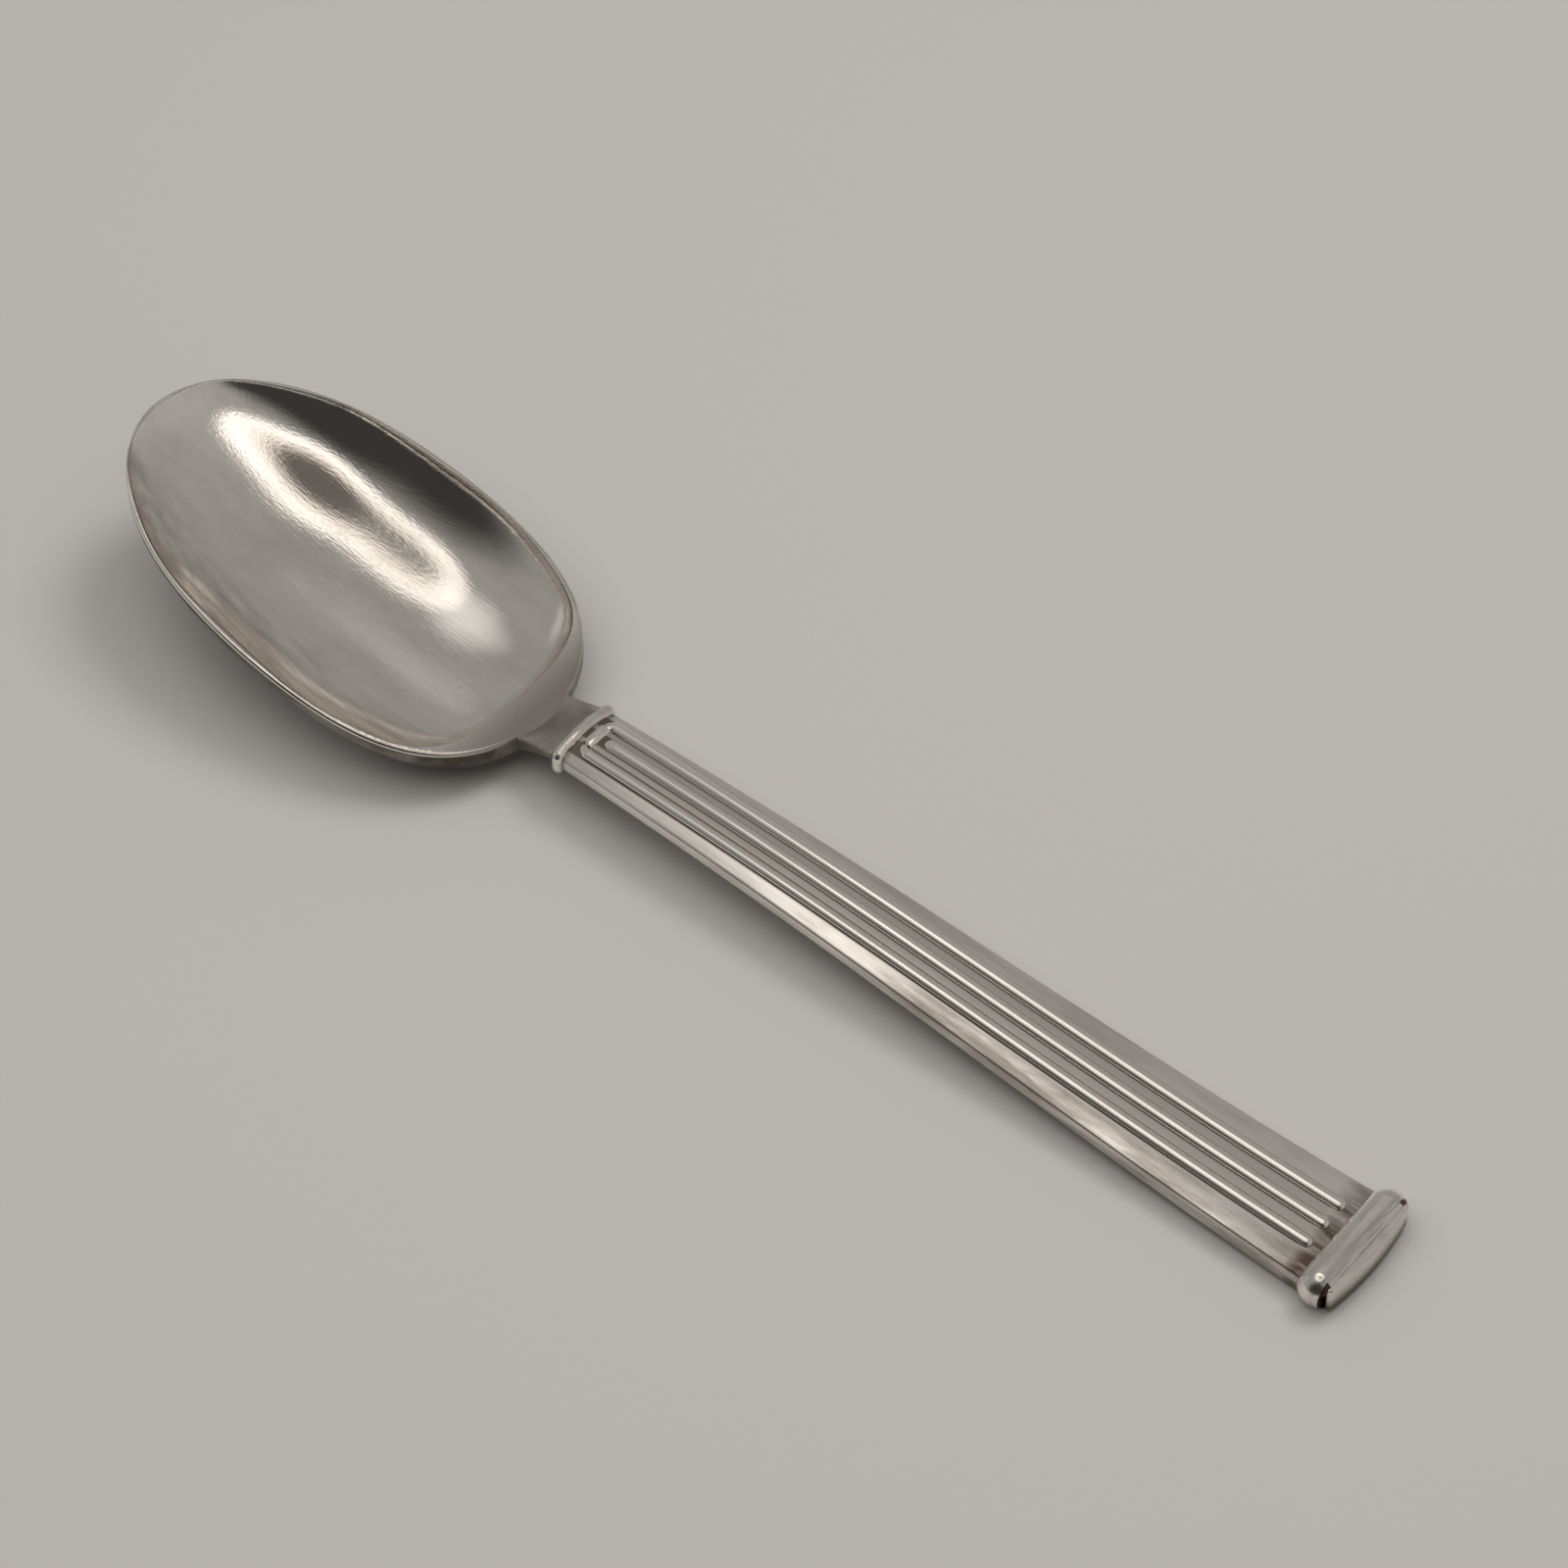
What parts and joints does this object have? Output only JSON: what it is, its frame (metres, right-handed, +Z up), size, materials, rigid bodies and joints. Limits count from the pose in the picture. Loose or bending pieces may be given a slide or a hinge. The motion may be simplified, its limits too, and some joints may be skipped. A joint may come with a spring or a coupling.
{
  "type": "table spoon",
  "caption": "Reeded table spoon with an egg-shaped bowl, a collared neck, a tapering ribbed handle and a rolled end, for eating and serving.",
  "frame": {"origin": "on the table, under the middle of the spoon's length", "axes": "+X along the spoon towards the end of the handle, +Y across it, +Z up from the table it lies on"},
  "size_m": [0.2046, 0.0434, 0.0221],
  "materials": {
    "bowl_silver": "silver-plated nickel silver, polished, with fine scratches along the bowl",
    "handle_silver": "silver-plated nickel silver, polished, lightly worn and toned",
    "reed_silver": "silver-plated nickel silver, polished bright on the crests",
    "end_silver": "silver-plated nickel silver, polished, toned in the seams"
  },
  "bodies": {
    "root": {"bowl": "bowl_silver", "neck": "bowl_silver", "collar_bead": "handle_silver", "handle": "handle_silver", "near_reed": "reed_silver", "middle_reed": "reed_silver", "far_reed": "reed_silver", "cross_reed": "reed_silver", "end_roll": "end_silver", "end_plate": "end_silver"}
  },
  "joints": []
}
